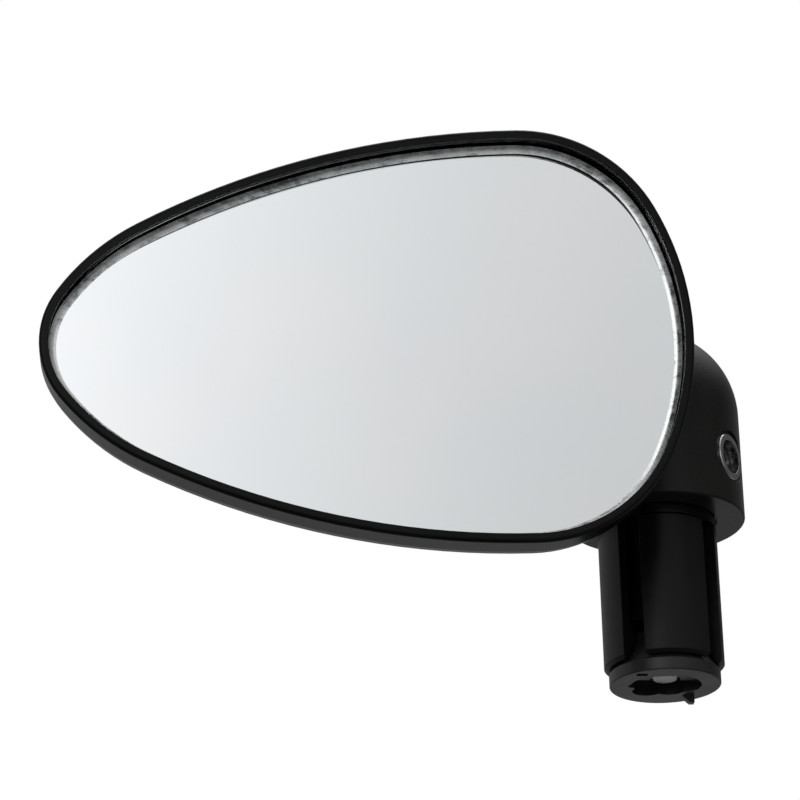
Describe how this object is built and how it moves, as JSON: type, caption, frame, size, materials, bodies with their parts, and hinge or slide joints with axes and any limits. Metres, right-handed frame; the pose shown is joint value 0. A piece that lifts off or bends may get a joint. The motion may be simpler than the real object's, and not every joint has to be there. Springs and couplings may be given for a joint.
{
  "type": "bike mirror",
  "caption": "Bar-end bicycle mirror: egg-shaped convex mirror head on a ball joint, domed swivelling knuckle with clamp screw, and an expanding plug that grips inside the end of a handlebar.",
  "frame": {"origin": "centre of the knuckle's flat underside, on the plug's axis, where the knuckle bears on the end of the handlebar", "axes": "+Z along the plug's axis, out of the bar; -Y is the side the mirror faces; +X towards the wide end of the mirror"},
  "size_m": [0.1028, 0.0493, 0.0724],
  "materials": {
    "housing_black": "satin gloss moulded black",
    "head_black": "gloss moulded black",
    "plug_black": "fine moulded black",
    "wedge_grey": "moulded dark grey",
    "screw_steel": "zinc plated",
    "dark_steel": "black oxide",
    "ring_plate": "bright nickel plate",
    "arm_black": "black powder coat on steel",
    "nylon": "natural nylon",
    "seat_plastic": "dark acetal",
    "spring_steel": "bare spring steel",
    "foam": "closed-cell foam",
    "reflector": "silvered film",
    "clear_lens": "clear moulded acrylic"
  },
  "bodies": {
    "plug": {"plug_core": "plug_black", "bolt_washer": "screw_steel"},
    "bolt": {"expander_bolt": "screw_steel"},
    "wedge": {"wedge_cone": "wedge_grey", "wedge_nut": "screw_steel"},
    "jaw_front": {"jaw_front": "plug_black"},
    "jaw_right": {"jaw_right": "plug_black"},
    "jaw_back": {"jaw_back": "plug_black"},
    "jaw_left": {"jaw_left": "plug_black"},
    "knuckle": {"knuckle_housing": "housing_black", "screw_insert": "ring_plate", "ball_arm": "arm_black"},
    "pad": {"friction_pad": "nylon"},
    "grub": {"grub_screw": "dark_steel"},
    "liner": {"ball_liner": "nylon"},
    "seat": {"ball_seat": "seat_plastic"},
    "head": {"rear_shell": "head_black", "bezel_ring": "head_black", "mirror_lens": "clear_lens", "mirror_film": "reflector", "foam_pad": "foam", "clamp_plate": "screw_steel", "clamp_screws": "dark_steel", "spring_washer": "spring_steel"}
  },
  "joints": [
    {"name": "wedge_draw", "type": "slide", "parent": "plug", "child": "wedge", "axis": [0, 0, 1], "range_m": [0, 0.0012]},
    {"name": "bolt_turn", "type": "hinge", "parent": "plug", "child": "bolt", "pos_m": [0, 0, 0], "axis": [0, 0, 1], "range_deg": [0, 617.5]},
    {"name": "jaw_front_swing", "type": "hinge", "parent": "plug", "child": "jaw_front", "pos_m": [0.00061, -0.00557, -0.0032], "axis": [-0.994, -0.1097, 0], "range_deg": [0, 2.8]},
    {"name": "jaw_right_swing", "type": "hinge", "parent": "plug", "child": "jaw_right", "pos_m": [0.00557, 0.00061, -0.0032], "axis": [0.1097, -0.994, 0], "range_deg": [0, 2.8]},
    {"name": "jaw_back_swing", "type": "hinge", "parent": "plug", "child": "jaw_back", "pos_m": [-0.00061, 0.00557, -0.0032], "axis": [0.994, 0.1097, 0], "range_deg": [0, 2.8]},
    {"name": "jaw_left_swing", "type": "hinge", "parent": "plug", "child": "jaw_left", "pos_m": [-0.00557, -0.00061, -0.0032], "axis": [-0.1097, 0.994, 0], "range_deg": [0, 2.8]},
    {"name": "knuckle_swivel", "type": "hinge", "parent": "plug", "child": "knuckle", "pos_m": [0, 0, 0.008], "axis": [0, 0, 1], "continuous": true},
    {"name": "pad_draw", "type": "slide", "parent": "knuckle", "child": "pad", "axis": [0.8039, -0.5948, 0], "range_m": [0, 0.0008]},
    {"name": "grub_turn", "type": "hinge", "parent": "pad", "child": "grub", "pos_m": [0.00723, -0.00535, 0.00775], "axis": [0.8039, -0.5948, 0], "range_deg": [0, 360]},
    {"name": "head_pan", "type": "hinge", "parent": "knuckle", "child": "liner", "pos_m": [-0.02, -0.02005, 0.01767], "axis": [0, 0, 1], "range_deg": [-20, 7]},
    {"name": "head_tilt", "type": "hinge", "parent": "liner", "child": "seat", "pos_m": [-0.02, -0.02005, 0.01767], "axis": [1, 0, 0], "range_deg": [-28, 3]},
    {"name": "head_roll", "type": "hinge", "parent": "seat", "child": "head", "pos_m": [-0.02, -0.02005, 0.01767], "axis": [0, -0.991, -0.134], "range_deg": [-90, 90]}
  ],
  "couplings": [
    {"joint": "bolt_turn", "follows": "wedge_draw", "rad_per_m": 8976},
    {"joint": "jaw_front_swing", "follows": "wedge_draw", "rad_per_m": 40.462},
    {"joint": "jaw_right_swing", "follows": "wedge_draw", "rad_per_m": 40.462},
    {"joint": "jaw_back_swing", "follows": "wedge_draw", "rad_per_m": 40.462},
    {"joint": "jaw_left_swing", "follows": "wedge_draw", "rad_per_m": 40.462},
    {"joint": "grub_turn", "follows": "pad_draw", "rad_per_m": 7853.2}
  ]
}
